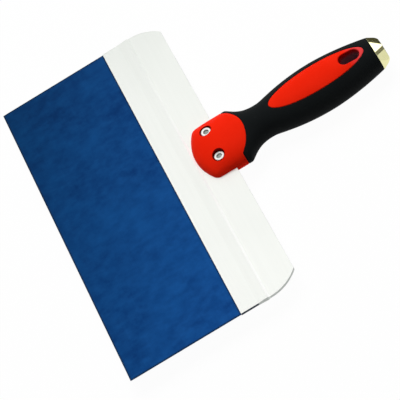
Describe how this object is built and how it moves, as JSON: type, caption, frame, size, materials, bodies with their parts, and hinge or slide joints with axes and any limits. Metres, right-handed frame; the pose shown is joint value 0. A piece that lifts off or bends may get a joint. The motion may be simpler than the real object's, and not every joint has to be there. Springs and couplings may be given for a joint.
{
  "type": "taping knife",
  "caption": "Wide taping knife: a thin flexible blade in a ridged metal backing strip, riveted to a soft-gripped moulded handle with a hanging hole and a metal hammer end",
  "frame": {"origin": "the middle of the knife's bounding box in X and Y, at its lowest point, with the blade lying level", "axes": "+X along the working edge, +Y from the working edge to the hammer end, +Z out of the upper face"},
  "size_m": [0.254, 0.2462, 0.0244],
  "materials": {
    "blued_steel": "blued and brushed",
    "strip_aluminium": "bright satin",
    "red_plastic": "semi-gloss",
    "black_rubber": "fine matt",
    "polished_brass": "polished",
    "rivet_steel": "plain"
  },
  "bodies": {
    "root": {"blade": "blued_steel", "backing_strip": "strip_aluminium", "handle_core": "red_plastic", "soft_grip": "black_rubber", "hammer_end": "polished_brass", "rivet_sleeve_left": "rivet_steel", "rivet_sleeve_right": "rivet_steel", "rivet_pin_left": "rivet_steel", "rivet_pin_right": "rivet_steel"}
  },
  "joints": []
}
